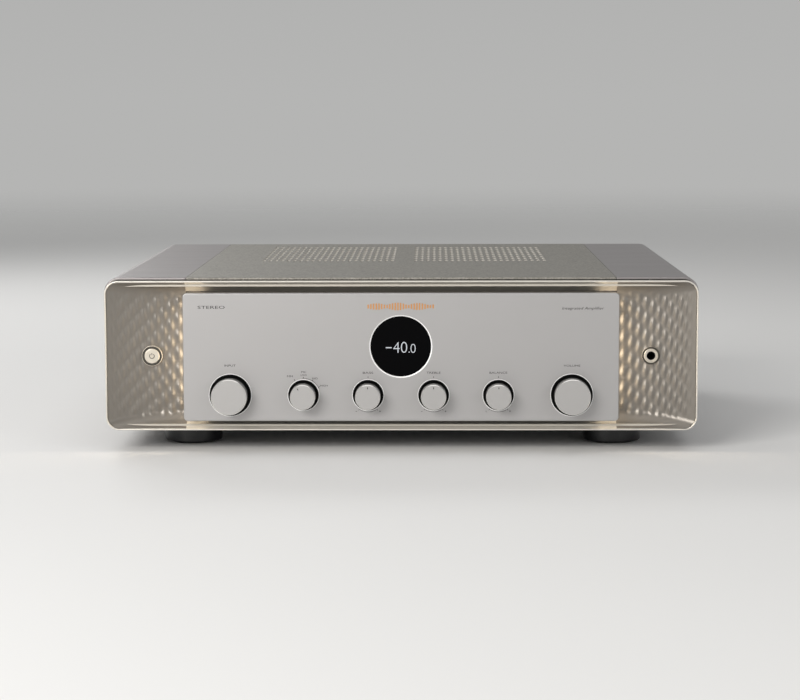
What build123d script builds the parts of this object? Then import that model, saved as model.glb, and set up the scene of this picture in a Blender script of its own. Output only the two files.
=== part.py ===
from build123d import *
import math
import os

# Stereo integrated amplifier, millimetres. +Z is up, the front faces -Y, and the origin is the
# centre of the footprint on the surface that the feet stand on. Each node is one kind of physical
# piece; identical pieces that never move apart share a node.

# ---------------------------------------------------------------- driving dimensions
WIDTH = 442.0
HEIGHT = 130.0
DEPTH = 431.0
FOOT_HEIGHT = 16.0
KNOB_REACH = 14.0        # knob fronts ahead of the faceplate
FACE_PROUD = 6.0         # faceplate front ahead of the bezel's rim
BODY_DEPTH = 384.0       # bezel's rim to the covers' back edge
TRAY_DEPTH = 13.0        # rim to the flat floor of the recessed front
FACE_THICK = 5.0
SHEET = 1.6              # covers
STEEL = 1.2              # chassis
GAP = 0.3                # seam between neighbouring pieces
RUN = 0.04               # radial running clearance

Y_KNOB = -DEPTH / 2
Y_FACE = Y_KNOB + KNOB_REACH
Y_FACE_BACK = Y_FACE + FACE_THICK
Y_RIM = Y_FACE + FACE_PROUD
Y_TRAY = Y_RIM + TRAY_DEPTH
Y_BACK = Y_RIM + BODY_DEPTH
Y_POST_END = DEPTH / 2

# Front bezel: a rounded ring with sloped top and bottom walls.
BEZEL_TOP = HEIGHT - 2.2
BEZEL_SIDE = WIDTH / 2 - 0.5
BEZEL_RADIUS = 10.0
RIM_WALL = 1.2
BEZEL_LIP = 4.5          # depth of the bezel that shows in front of the covers
BEZEL_DEPTH = 19.0
CORE_INSET = 4.3         # the sleeve's inner face, in from the covers' outside
SLOPE = 7.4              # how far the top and bottom walls lean in
SUBPANEL_THICK = 3.0

# Faceplate
FACE_HALF = 161.5
FACE_LOW = 23.8
FACE_HIGH = 119.2
FACE_CORNER = 3.0

# Controls, all on one line
CONTROL_Z = 43.3
OUTER_X = 126.7          # large knobs: input on the left, volume on the right
INNER_X = 72.3           # cartridge selector on the left, balance on the right
TONE_X = 24.3            # bass on the left, treble on the right
BIG_KNOB_R = 13.2
SMALL_KNOB_R = 9.3
KNOB_HOLE_GAP = 0.55
BIG_RING = 1.8           # width of the dished ring cut around each knob hole
SMALL_RING = 1.6
KNOB_LENGTH = 18.5
SHAFT_R = 3.0
SHAFT_FRONT = Y_KNOB + 3.5
BUSHING_R = 3.8
BUSHING_FRONT = Y_TRAY - 6.0

# Display
DISPLAY_Z = 79.6
DISPLAY_R = 22.4
DISPLAY_RING = 0.9

# Wings beside the faceplate: power button on the left, headphone socket on the right
WING_X = 186.4
WING_Z = 70.9
WING_INNER = 160.6
BUTTON_R = 5.7
BUTTON_TRAVEL = 1.5
JACK_R = 3.25            # bore for a 6.35 mm plug
FITTING_R = 7.7          # collar at the button's foot
NUT_R = 6.6              # flange at the socket's foot
TUBE_R = 5.3             # tube that carries the socket forward
FITTING_THICK = 1.8
BUTTON_PROUD = 0.8         # button's face in front of its collar
TUBE_PROUD = 0.8           # socket's tube in front of its flange

# Feet
FOOT_X = 161.0
FOOT_Y = 137.0
FOOT_R = 22.0
PAD_THICK = 2.0

# Top cover vents
SLOT_COLUMNS = 22
SLOT_ROWS = 8
SLOT_PITCH_X = 5.0
SLOT_PITCH_Y = 22.0
SLOT_WIDTH = 2.7
SLOT_LENGTH = 14.5
VENT_X = 62.0
VENT_Y = 60.0
SEAM_X = 159.6

# Rear terminals
REAR_PANEL_THICK = 1.5
Y_REAR = Y_BACK - 4.5    # outer face of the rear panel
POST_ROD_R = 3.0
BANANA_R = 2.05
BANANA_DEPTH = 16.0
POST_PITCH_THREAD = 1.0
POST_TURNS = 4
POST_Z = 62.0
POST_XS = (64.0, 92.0, 136.0, 164.0)
GROUND_X = -196.0
GROUND_Z = 108.0
RCA_X0 = -176.0
RCA_PITCH = 20.0
RCA_COLUMNS = 9
RCA_ZS = (108.0, 88.0)
RCA_R = 4.15
RCA_REACH = 9.5
INLET_X = 174.0
INLET_Z = 36.0

FLOOR_TOP = FOOT_HEIGHT + STEEL
INSIDE_X = WIDTH / 2 - SHEET - GAP
INSIDE_TOP = HEIGHT - SHEET - GAP


# ---------------------------------------------------------------- helpers
def plane_y(y):
    """A drawing plane at depth y seen from the front: its x is +X and its y is +Z."""
    return Plane((0, y, 0), x_dir=(1, 0, 0), z_dir=(0, -1, 0))


def along_y(sketch, y0, y1):
    """The sketch, drawn as seen from the front, as a solid from y0 back to y1."""
    return extrude(plane_y(y1) * sketch, amount=y1 - y0, dir=(0, -1, 0))


def along_z(sketch, z0, z1):
    return extrude(Plane.XY.offset(z0) * sketch, amount=z1 - z0, dir=(0, 0, 1))


def along_x(sketch, x0, x1):
    """The sketch, drawn with Y across and Z up, as a solid from x0 to x1."""
    return extrude(Plane.YZ.offset(x0) * sketch, amount=x1 - x0, dir=(1, 0, 0))


def disc(x, z, radius, y0, y1):
    return along_y(Pos(x, z) * Circle(radius), y0, y1)


def ring(x, z, outer, inner, y0, y1):
    return disc(x, z, outer, y0, y1) - disc(x, z, inner, y0 - 1, y1 + 1)


def block(x0, x1, y0, y1, z0, z1):
    size = (x1 - x0, y1 - y0, z1 - z0)
    return Pos((x0 + x1) / 2, (y0 + y1) / 2, (z0 + z1) / 2) * Box(*size)


def post(x, y, radius, z0, z1):
    return along_z(Pos(x, y) * Circle(radius), z0, z1)


def rounded(x0, x1, z0, z1, radius):
    return Pos((x0 + x1) / 2, (z0 + z1) / 2) * RectangleRounded(x1 - x0, z1 - z0, radius)


def edges_at(solid, y):
    """The edges that lie wholly at depth y."""
    return solid.edges().filter_by(lambda e: max(abs(v.Y - y) for v in (e @ 0, e @ 0.37, e @ 1)) < 1e-4)


def mirrored(solid):
    return mirror(solid, about=Plane.YZ)


# ---------------------------------------------------------------- control layout
# Distance from the centre, knob radius, and the angle clockwise from the top of the pointer
# mark; the two endless knobs have none.
KNOBS = {
    "input": (-OUTER_X, BIG_KNOB_R, None),
    "selector": (-INNER_X, SMALL_KNOB_R, -30),
    "bass": (-TONE_X, SMALL_KNOB_R, 0),
    "treble": (TONE_X, SMALL_KNOB_R, 0),
    "balance": (INNER_X, SMALL_KNOB_R, 0),
    "volume": (OUTER_X, BIG_KNOB_R, None),
}


# ---------------------------------------------------------------- front
def slopes(clearance):
    """The leaning inner faces above and below the recessed front, as two prisms."""
    half = BEZEL_SIDE - RIM_WALL
    low = FOOT_HEIGHT + RIM_WALL
    high = BEZEL_TOP - RIM_WALL
    opening = along_y(rounded(-half, half, low, high, BEZEL_RADIUS - RIM_WALL), Y_RIM, Y_TRAY + 1)
    made = []
    for wall, lean in ((high, -SLOPE), (low, SLOPE)):
        away = math.copysign(clearance, lean)
        outline = Polygon(
            (Y_RIM + 0.6 - clearance, wall - lean * 0.08), (Y_TRAY, wall - lean * 0.08),
            (Y_TRAY, wall + lean + away), (Y_RIM + 0.6 - clearance, wall + away), align=None,
        )
        made.append(along_x(outline, -half, half) & opening)
    return made


def front_bezel():
    lip = along_y(
        rounded(-BEZEL_SIDE, BEZEL_SIDE, FOOT_HEIGHT, BEZEL_TOP, BEZEL_RADIUS),
        Y_RIM, Y_RIM + BEZEL_LIP,
    )
    step = SHEET + GAP + 0.2
    sleeve = along_y(
        rounded(-WIDTH / 2 + step, WIDTH / 2 - step, FOOT_HEIGHT + step, BEZEL_TOP - step, BEZEL_RADIUS - step),
        Y_RIM + BEZEL_LIP, Y_RIM + BEZEL_DEPTH,
    )
    outline = lip + sleeve
    opening = rounded(
        -BEZEL_SIDE + RIM_WALL, BEZEL_SIDE - RIM_WALL,
        FOOT_HEIGHT + RIM_WALL, BEZEL_TOP - RIM_WALL, BEZEL_RADIUS - RIM_WALL,
    )
    core = rounded(
        -WIDTH / 2 + CORE_INSET, WIDTH / 2 - CORE_INSET,
        FOOT_HEIGHT + CORE_INSET, BEZEL_TOP - CORE_INSET, BEZEL_RADIUS - CORE_INSET,
    )
    body = outline - along_y(opening, Y_RIM - 1, Y_RIM + BEZEL_LIP - 1.2)
    body -= along_y(core, Y_RIM - 1, Y_RIM + BEZEL_DEPTH + 1)
    for wedge in slopes(0):
        body += wedge & outline
    return fillet(edges_at(body, Y_RIM), 0.5)


WING_OUTER = BEZEL_SIDE - RIM_WALL - 0.2
WING_RISE = TRAY_DEPTH - 1.2
WING_RUN = WING_OUTER - WING_INNER
WING_RADIUS = (WING_RUN ** 2 + WING_RISE ** 2) / (2 * WING_RISE)
WING_THICK = 2.0


def wing_depth(x):
    """Depth of the wing's front surface at distance x from the centre."""
    return Y_TRAY - (WING_RADIUS - math.sqrt(WING_RADIUS ** 2 - (x - WING_INNER) ** 2))


def wing_plan(back):
    """Plan of the right wing: its hollow front arc closed by a line at depth back."""
    middle = (WING_INNER + WING_OUTER) / 2
    arc = ThreePointArc(
        (WING_INNER, Y_TRAY), (middle, wing_depth(middle)), (WING_OUTER, wing_depth(WING_OUTER))
    )
    rest = Polyline(
        (WING_OUTER, wing_depth(WING_OUTER)), (WING_OUTER, back), (WING_INNER, back), (WING_INNER, Y_TRAY)
    )
    return make_face(Wire([*arc.edges(), *rest.edges()]))


def backdrop_right(hole_r):
    """A hollow-curved wing of even thickness, trimmed to fit the bezel's inside."""
    solid = along_z(wing_plan(Y_TRAY + WING_THICK), FOOT_HEIGHT, HEIGHT)
    wing = solid - Pos(0, WING_THICK, 0) * solid
    low = FOOT_HEIGHT + RIM_WALL + 0.2
    high = BEZEL_TOP - RIM_WALL - 0.2
    ledge = Y_RIM + BEZEL_LIP - 1.2 - 0.2
    inner = CORE_INSET + GAP
    outline = along_y(rounded(-WING_OUTER, WING_OUTER, low, high, BEZEL_RADIUS - RIM_WALL - 0.2), Y_RIM, ledge)
    outline += along_y(
        rounded(-WIDTH / 2 + inner, WIDTH / 2 - inner, FOOT_HEIGHT + inner, BEZEL_TOP - inner, 5.4),
        ledge, Y_TRAY + 9,
    )
    wing = wing & outline
    for wedge in slopes(0.2):
        wing -= wedge
    return wing - disc(WING_X, WING_Z, hole_r, Y_RIM, Y_TRAY + 6)


def front_subpanel():
    low = FOOT_HEIGHT + RIM_WALL + SLOPE + GAP
    high = BEZEL_TOP - RIM_WALL - SLOPE - GAP
    edge = WING_INNER - GAP
    plate = block(-edge, edge, Y_TRAY, Y_TRAY + SUBPANEL_THICK, low, high)
    for x, _, _ in KNOBS.values():
        plate -= disc(x, CONTROL_Z, BUSHING_R + 0.15, Y_TRAY - 1, Y_TRAY + SUBPANEL_THICK + 1)
    return plate


def knob_hole_r(knob_r):
    return knob_r + KNOB_HOLE_GAP


def faceplate():
    plate = along_y(rounded(-FACE_HALF, FACE_HALF, FACE_LOW, FACE_HIGH, FACE_CORNER), Y_FACE, Y_FACE_BACK)
    plate = fillet(edges_at(plate, Y_FACE), 0.8)
    plate -= disc(0, DISPLAY_Z, DISPLAY_R + 0.1, Y_FACE - 1, Y_FACE_BACK + 1)
    plate -= dish(0, DISPLAY_Z, DISPLAY_R + 0.1, DISPLAY_RING, 0.5)
    for x, knob_r, _ in KNOBS.values():
        hole_r = knob_hole_r(knob_r)
        plate -= disc(x, CONTROL_Z, hole_r, Y_FACE - 1, Y_FACE_BACK + 1)
        plate -= dish(x, CONTROL_Z, hole_r, SMALL_RING if knob_r == SMALL_KNOB_R else BIG_RING, 0.8)
    return plate


def dish(x, z, radius, width, depth):
    """The cone that leaves a turned ring, width wide and depth deep, around a hole of that radius."""
    cone = Cone(radius, radius + width, depth)
    return Pos(x, Y_FACE + depth / 2, z) * Rot(90, 0, 0) * cone


def faceplate_carrier():
    outer = rounded(-150, 150, FACE_LOW + 7, FACE_HIGH - 5, 4)
    inner = rounded(-146, 146, FACE_LOW + 11, FACE_HIGH - 9, 2)
    return along_y(outer, Y_FACE_BACK, Y_TRAY - 0.1) - along_y(inner, Y_FACE_BACK - 1, Y_TRAY + 1)


def light_bars():
    """Two lit strips on the carrier's ends; they shine sideways across the wings."""
    bar = block(150.05, 153.0, Y_FACE_BACK + 1.0, Y_TRAY - 3.0, FACE_LOW + 12, FACE_HIGH - 10)
    return [mirrored(bar), bar]


def display_window():
    window = disc(0, DISPLAY_Z, DISPLAY_R, Y_FACE + 0.5, Y_FACE_BACK + 1.0)
    return fillet(edges_at(window, Y_FACE + 0.5), 0.25)


def display_module():
    y0 = Y_FACE_BACK + 1.1
    board = block(-27, 27, y0 + 3.5, y0 + 5.1, DISPLAY_Z - 27, DISPLAY_Z + 24)
    glass = block(-21, 21, y0, y0 + 3.5, DISPLAY_Z - 18, DISPLAY_Z + 18)
    return board + glass


# ---------------------------------------------------------------- controls
def knob(x, radius, pointer):
    """A turned metal cap: thin rim, hollow back and a hub that takes the shaft."""
    back = Y_KNOB + KNOB_LENGTH
    body = disc(x, CONTROL_Z, radius, Y_KNOB, back)
    body = chamfer(edges_at(body, Y_KNOB), 0.5)
    body -= ring(x, CONTROL_Z, radius - 1.8, SHAFT_R + 2.4, Y_KNOB + 3.0, back + 1)
    body -= disc(x, CONTROL_Z, SHAFT_R + 0.02, SHAFT_FRONT, back + 1)
    if pointer is not None:
        notch = block(-0.3, 0.3, Y_KNOB - 1, Y_KNOB + 0.25, radius * 0.66, radius * 0.82)
        body -= Pos(x, 0, CONTROL_Z) * Rot(0, pointer, 0) * notch
    return body


def shaft(x):
    body = disc(x, CONTROL_Z, SHAFT_R, SHAFT_FRONT, Y_TRAY + SUBPANEL_THICK + 3.0)
    return chamfer(edges_at(body, SHAFT_FRONT), 0.4)


def control_body(x, width, height, depth):
    """Square housing behind the subpanel with a threaded bushing that the shaft turns in."""
    y0 = Y_TRAY + SUBPANEL_THICK + 0.05
    housing = block(x - width / 2, x + width / 2, y0, y0 + depth, CONTROL_Z - height / 2, CONTROL_Z + height / 2)
    bushing = disc(x, CONTROL_Z, BUSHING_R, BUSHING_FRONT, y0)
    return housing + bushing - disc(x, CONTROL_Z, SHAFT_R + RUN, BUSHING_FRONT - 1, y0 + 4.0)


def encoder_bodies():
    return [control_body(x, 14, 16, 7) for x in (-OUTER_X, OUTER_X)]


def selector_switch():
    return control_body(-INNER_X, 22, 24, 9)


def tone_pots():
    return [control_body(x, 18, 20, 8) for x in (-TONE_X, TONE_X, INNER_X)]


def control_nuts():
    nuts = []
    for x, _, _ in KNOBS.values():
        hexagon = Pos(x, CONTROL_Z) * RegularPolygon(6.2, 6)
        nut = along_y(hexagon, Y_TRAY - 2.5, Y_TRAY - 0.05)
        nuts.append(nut - disc(x, CONTROL_Z, BUSHING_R + 0.02, Y_TRAY - 4, Y_TRAY + 1))
    return nuts


def control_board():
    y0 = Y_TRAY + SUBPANEL_THICK + 9.4
    board = block(-140, 140, y0, y0 + 1.6, CONTROL_Z - 18, CONTROL_Z + 22)
    chip = block(-60, -42, y0 + 1.6, y0 + 4.0, CONTROL_Z + 2, CONTROL_Z + 16)
    socket = block(6, 38, y0 + 1.6, y0 + 7.0, CONTROL_Z + 8, CONTROL_Z + 16)
    return board + chip + socket


def power_button():
    front = wing_depth(WING_X) - FITTING_THICK - BUTTON_PROUD
    cap = disc(-WING_X, WING_Z, BUTTON_R, front, wing_depth(WING_X) + 6.0)
    cap = fillet(edges_at(cap, front), 0.6)
    stem = disc(-WING_X, WING_Z, 2.0, wing_depth(WING_X) + 5.9, wing_depth(WING_X) + 10.0)
    return cap + stem


def seated(fitting, side):
    """The fitting trimmed where its flange lands on the wing's arc."""
    cutter = along_z(wing_plan(Y_TRAY + 12), WING_Z - 12, WING_Z + 12)
    return fitting - (cutter if side > 0 else mirrored(cutter))


def power_button_ring():
    front = wing_depth(WING_X) - FITTING_THICK
    flange = disc(-WING_X, WING_Z, FITTING_R, front, Y_TRAY)
    flange = seated(fillet(edges_at(flange, front), 0.35), -1)
    neck = disc(-WING_X, WING_Z, FITTING_R - 0.65, front + 0.8, wing_depth(WING_X) + 3.5)
    return flange + neck - disc(-WING_X, WING_Z, BUTTON_R + 0.4, front - 1, Y_TRAY + 9)


def power_switch():
    """Push switch on a small board, one travel behind the button's stem."""
    y0 = wing_depth(WING_X) + 10.0 + BUTTON_TRAVEL + 0.2
    plunger = disc(-WING_X, WING_Z, 1.8, y0, y0 + 2.0)
    can = block(-WING_X - 6, -WING_X + 6, y0 + 2.0, y0 + 7.0, WING_Z - 6, WING_Z + 6)
    board = block(-WING_X - 14, -WING_X + 14, y0 + 7.0, y0 + 8.6, WING_Z - 20, WING_Z + 20)
    return plunger + can + board


def headphone_nut():
    front = wing_depth(WING_X) - FITTING_THICK - TUBE_PROUD
    tube = disc(WING_X, WING_Z, TUBE_R, front, Y_TRAY)
    tube = fillet(edges_at(tube, front), 0.4)
    flange = disc(WING_X, WING_Z, NUT_R, wing_depth(WING_X) - FITTING_THICK, Y_TRAY)
    body = seated(tube + flange, 1)
    return body - disc(WING_X, WING_Z, JACK_R + 1.35, front - 1, Y_TRAY + 9)


def headphone_socket():
    nose_front = wing_depth(WING_X) - FITTING_THICK - TUBE_PROUD + 0.6
    back = wing_depth(WING_X) + 34
    nose = disc(WING_X, WING_Z, JACK_R + 1.3, nose_front, wing_depth(WING_X) + 4.2)
    body = block(WING_X - 9, WING_X + 9, wing_depth(WING_X) + 4.2, back, WING_Z - 8, WING_Z + 8)
    return nose + body - disc(WING_X, WING_Z, JACK_R, nose_front - 1, back - 2.0)


# ---------------------------------------------------------------- casing
def casing_section():
    """Section through the covers: a rounded ring of sheet, tighter at the bottom corners."""
    outer = rounded(-WIDTH / 2, WIDTH / 2, FOOT_HEIGHT, HEIGHT, 11.0)
    inner = rounded(-WIDTH / 2 + SHEET, WIDTH / 2 - SHEET, FOOT_HEIGHT + SHEET, HEIGHT - SHEET, 11.0 - SHEET)
    return outer - inner


def side_cover_right():
    y0 = Y_RIM + BEZEL_LIP + 1.0
    shell = along_y(casing_section(), y0, Y_BACK)
    shell -= block(-WIDTH, SEAM_X + GAP, y0 - 1, Y_BACK + 1, HEIGHT / 2, HEIGHT + 1)
    shell -= block(-WIDTH, WIDTH / 2 - 22, y0 - 1, Y_BACK + 1, 0, HEIGHT / 2 + 1)
    return soften_front(shell, y0)


def soften_front(solid, y0):
    """Rounds the outer front edge of a cover."""
    outer = [
        e for e in edges_at(solid, y0)
        if max((e @ t).Z for t in (0, 0.5, 1)) > HEIGHT - 0.01
        or max((e @ t).X for t in (0, 0.5, 1)) > WIDTH / 2 - 0.01
    ]
    return fillet(outer, 0.9)


def top_panel():
    y0 = Y_RIM + BEZEL_LIP + 1.0
    plate = block(-SEAM_X, SEAM_X, y0, Y_BACK, HEIGHT - SHEET, HEIGHT)
    front_top = edges_at(plate, y0).filter_by(lambda e: (e @ 0.5).Z > HEIGHT - 0.01)
    plate = fillet(front_top, 0.9)
    slot = Rot(0, 0, 90) * SlotOverall(SLOT_LENGTH, SLOT_WIDTH)
    for side in (-1, 1):
        grid = GridLocations(SLOT_PITCH_X, SLOT_PITCH_Y, SLOT_COLUMNS, SLOT_ROWS)
        slots = Sketch() + [Pos(side * VENT_X, VENT_Y) * place * slot for place in grid]
        plate -= along_z(slots, HEIGHT - SHEET - 1, HEIGHT + 1)
    return plate


def bottom_chassis():
    """Bent steel tray with pressed-in standoffs for the boards."""
    y0 = Y_RIM + BEZEL_DEPTH + GAP
    y1 = Y_REAR - REAR_PANEL_THICK - GAP
    half = WIDTH / 2 - 22 - GAP
    floor = block(-half, half, y0, y1, FOOT_HEIGHT, FLOOR_TOP)
    tray = floor
    for side in (-1, 1):
        x0, x1 = sorted((side * (half - STEEL), side * half))
        tray += block(x0, x1, y0, y1, FLOOR_TOP, FOOT_HEIGHT + 14)
    tray += block(-half, half, y0, y0 + STEEL, FLOOR_TOP, FOOT_HEIGHT + 14)
    tray += block(-half, half, y1 - STEEL, y1, FLOOR_TOP, FOOT_HEIGHT + 6)
    for x, y in STANDOFFS:
        tray += post(x, y, 3.0, FLOOR_TOP, BOARD_Z)
    for x in (-FOOT_X, FOOT_X):
        for y in (-FOOT_Y, FOOT_Y):
            tray -= post(x, y, 2.2, FOOT_HEIGHT - 1, FLOOR_TOP + 1)
    return tray


def rear_panel():
    y0 = Y_REAR - REAR_PANEL_THICK
    plate = along_y(
        rounded(-INSIDE_X, INSIDE_X, FOOT_HEIGHT + SHEET + GAP, INSIDE_TOP, 11 - SHEET - GAP), y0, Y_REAR
    )
    for x, z in rca_places():
        plate -= disc(x, z, 5.2, y0 - 1, Y_REAR + 1)
    for x in POST_XS:
        plate -= disc(x, POST_Z, 5.6, y0 - 1, Y_REAR + 1)
    plate -= disc(GROUND_X, GROUND_Z, 3.1, y0 - 1, Y_REAR + 1)
    plate -= block(INLET_X - 14, INLET_X + 14, y0 - 1, Y_REAR + 1, INLET_Z - 10.2, INLET_Z + 10.2)
    for x in (-180, -90, 0, 90, 180):
        plate -= disc(x, FOOT_HEIGHT + 8.5 if abs(x) < 100 else INSIDE_TOP - 8, 1.7, y0 - 1, Y_REAR + 1)
    return plate


def feet():
    """Turned feet: a wide body over a narrower neck, recessed beneath for the pad."""
    made = []
    for x in (-FOOT_X, FOOT_X):
        for y in (-FOOT_Y, FOOT_Y):
            body = post(x, y, FOOT_R, PAD_THICK - 0.8, FOOT_HEIGHT - 3.0)
            body = fillet(body.edges().filter_by(GeomType.CIRCLE), 1.0)
            neck = post(x, y, FOOT_R - 4, FOOT_HEIGHT - 3.1, FOOT_HEIGHT)
            hollow = post(x, y, FOOT_R - 5, 0, PAD_THICK)
            made.append(body + neck - hollow - post(x, y, 2.2, 0, FOOT_HEIGHT + 1))
    return made


def foot_pads():
    pads = []
    for x in (-FOOT_X, FOOT_X):
        for y in (-FOOT_Y, FOOT_Y):
            pads.append(post(x, y, FOOT_R - 5.1, 0, PAD_THICK) - post(x, y, 5.0, -1, PAD_THICK + 1))
    return pads


def screw(head_r, head_h, shank_r, length):
    """A cross-head screw along +Z with its head on top, its seat at the origin."""
    head = Pos(0, 0, head_h / 2) * Cylinder(head_r, head_h)
    head = fillet(head.edges().filter_by(GeomType.CIRCLE).sort_by(Axis.Z)[-1], head_h * 0.45)
    shank = Pos(0, 0, -length / 2) * Cylinder(shank_r, length)
    arm = Pos(0, 0, head_h) * Box(head_r * 1.1, head_r * 0.28, head_h * 1.0)
    return head + shank - arm - Rot(0, 0, 90) * arm


def case_screws():
    """Foot bolts from inside the tray, and the rear panel's screws."""
    made = []
    for x in (-FOOT_X, FOOT_X):
        for y in (-FOOT_Y, FOOT_Y):
            made.append(Pos(x, y, FLOOR_TOP) * screw(4.0, 2.4, 2.15, 12.0))
    for x in (-180, -90, 0, 90, 180):
        z = FOOT_HEIGHT + 8.5 if abs(x) < 100 else INSIDE_TOP - 8
        made.append(Pos(x, Y_REAR, z) * Rot(-90, 0, 0) * screw(3.0, 1.8, 1.65, 7.0))
    return made


# ---------------------------------------------------------------- rear terminals
def rca_places():
    return [(RCA_X0 + column * RCA_PITCH, z) for column in range(RCA_COLUMNS) for z in RCA_ZS]


def rca_jack_shells():
    shells = []
    for x, z in rca_places():
        barrel = ring(x, z, RCA_R, RCA_R - 0.8, Y_REAR + 0.05, Y_REAR + RCA_REACH)
        flange = ring(x, z, 6.2, RCA_R - 0.8, Y_REAR + 0.05, Y_REAR + 1.8)
        shells.append(barrel + flange)
    return shells


def rca_jack_blocks():
    """One insulating block behind the panel for each pair, with a nose that fills each barrel."""
    blocks = []
    y0 = Y_REAR - REAR_PANEL_THICK - 12.0
    y1 = Y_REAR - REAR_PANEL_THICK - 0.1
    for column in range(RCA_COLUMNS):
        x = RCA_X0 + column * RCA_PITCH
        body = block(x - 7.5, x + 7.5, y0, y1, RCA_ZS[1] - 9, RCA_ZS[0] + 9)
        for z in RCA_ZS:
            body += disc(x, z, 5.0, y1 - 0.5, Y_REAR)
            body += disc(x, z, RCA_R - 0.85, Y_REAR - 0.5, Y_REAR + RCA_REACH - 1.5)
            body -= disc(x, z, 1.65, y1 - 3.0, Y_REAR + RCA_REACH)
        blocks.append(body)
    return blocks


POST_SEAT = Y_REAR + 4.0      # where the clamp washer rests
WASHER_THICK = 1.4
CAP_FRONT = POST_SEAT + WASHER_THICK + 0.1
CAP_END = Y_POST_END


def terminal_rods():
    """Metal rods of the speaker posts, bored for banana plugs and cross-drilled for bare wire."""
    rods = []
    for x in POST_XS:
        rod = disc(x, POST_Z, POST_ROD_R, Y_REAR - 16, CAP_END)
        rod -= disc(x, POST_Z, BANANA_R, CAP_END - BANANA_DEPTH, CAP_END + 1)
        rods.append(rod)
    rods.append(disc(GROUND_X, GROUND_Z, 2.0, Y_REAR - 9, Y_REAR + 16))
    return rods


def terminal_bases():
    """Insulating bushes that carry the rods through the panel."""
    bases = []
    for x in POST_XS:
        front = disc(x, POST_Z, 8.5, Y_REAR + 0.05, POST_SEAT - 0.05)
        through = disc(x, POST_Z, 5.5, Y_REAR - 6.0, Y_REAR + 0.5)
        bases.append(front + through - disc(x, POST_Z, POST_ROD_R + 0.01, Y_REAR - 20, POST_SEAT + 1))
    ground = disc(GROUND_X, GROUND_Z, 5.0, Y_REAR + 0.05, Y_REAR + 2.0)
    ground += disc(GROUND_X, GROUND_Z, 3.0, Y_REAR - 4.0, Y_REAR + 0.5)
    bases.append(ground - disc(GROUND_X, GROUND_Z, 2.01, Y_REAR - 20, Y_REAR + 5))
    return bases


def speaker_washer(x):
    return ring(x, POST_Z, 6.4, POST_ROD_R + 0.06, POST_SEAT, POST_SEAT + WASHER_THICK)


def speaker_cap(x):
    """Fluted thumb cap that runs on the rod's thread."""
    body = disc(x, POST_Z, 8.3, CAP_FRONT, CAP_END - 0.4)
    body = fillet(edges_at(body, CAP_END - 0.4), 1.2)
    for turn in range(12):
        angle = math.radians(turn * 30 + 15)
        flute = disc(x + 9.0 * math.cos(angle), POST_Z + 9.0 * math.sin(angle), 1.5, CAP_FRONT + 2.5, CAP_END + 1)
        body -= flute
    return body - disc(x, POST_Z, POST_ROD_R + 0.06, CAP_FRONT - 1, CAP_END + 1)


def ground_washer():
    return ring(GROUND_X, GROUND_Z, 4.8, 2.05, Y_REAR + 2.05, Y_REAR + 3.0)


def ground_cap():
    """Knurled thumb nut on the ground stud."""
    front = Y_REAR + 3.1
    body = disc(GROUND_X, GROUND_Z, 5.2, front, front + 8.0)
    body = fillet(edges_at(body, front + 8.0), 0.7)
    for turn in range(16):
        angle = math.radians(turn * 22.5)
        body -= disc(
            GROUND_X + 5.5 * math.cos(angle), GROUND_Z + 5.5 * math.sin(angle), 0.7, front + 1.2, front + 9
        )
    return body - disc(GROUND_X, GROUND_Z, 2.05, front - 1, front + 9)


def ac_inlet():
    """Three-pin mains inlet: a flanged box with a shaped recess and three blades."""
    flange = along_y(rounded(INLET_X - 17, INLET_X + 17, INLET_Z - 12.5, INLET_Z + 12.5, 3), Y_REAR + 0.05, Y_REAR + 2.5)
    box = block(INLET_X - 13.8, INLET_X + 13.8, Y_REAR - 24, Y_REAR + 0.5, INLET_Z - 10, INLET_Z + 10)
    recess = Polygon(
        (INLET_X - 12.2, INLET_Z - 8.0), (INLET_X + 12.2, INLET_Z - 8.0), (INLET_X + 12.2, INLET_Z + 3.5),
        (INLET_X + 7.7, INLET_Z + 8.0), (INLET_X - 7.7, INLET_Z + 8.0), (INLET_X - 12.2, INLET_Z + 3.5),
        align=None,
    )
    body = flange + box - along_y(recess, Y_REAR - 20, Y_REAR + 3)
    for dx, dz in ((-7.0, -2.0), (7.0, -2.0), (0.0, 2.0)):
        body += block(
            INLET_X + dx - 1.0, INLET_X + dx + 1.0, Y_REAR - 20.5, Y_REAR - 4.0, INLET_Z + dz - 2.0, INLET_Z + dz + 2.0
        )
    return body


# ---------------------------------------------------------------- inside
BOARD_Z = FLOOR_TOP + 8.0
BOARD_THICK = 1.6
SUPPLY = (40.0, 190.0, -120.0, 20.0)
AMP_LEFT = (-190.0, -90.0, 60.0, 150.0)
AMP_RIGHT = (90.0, 190.0, 60.0, 150.0)
PREAMP = (-78.0, 78.0, 40.0, 168.0)
BOARD_INSET = 5.0


def corners(area):
    x0, x1, y0, y1 = area
    return [(x, y) for x in (x0 + BOARD_INSET, x1 - BOARD_INSET) for y in (y0 + BOARD_INSET, y1 - BOARD_INSET)]


STANDOFFS = [spot for area in (SUPPLY, AMP_LEFT, AMP_RIGHT, PREAMP) for spot in corners(area)]
TOROID_X = -105.0
TOROID_Y = -65.0
TOROID_R = 56.0
TOROID_HEIGHT = 48.0


def board(area):
    x0, x1, y0, y1 = area
    return block(x0, x1, y0, y1, BOARD_Z, BOARD_Z + BOARD_THICK)


def toroidal_transformer():
    section = Pos((TOROID_R + 18) / 2, FLOOR_TOP + 3 + TOROID_HEIGHT / 2) * RectangleRounded(TOROID_R - 18, TOROID_HEIGHT, 10)
    wound = revolve(Plane.XZ * section, Axis.Z)
    return Pos(TOROID_X, TOROID_Y, 0) * wound


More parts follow.
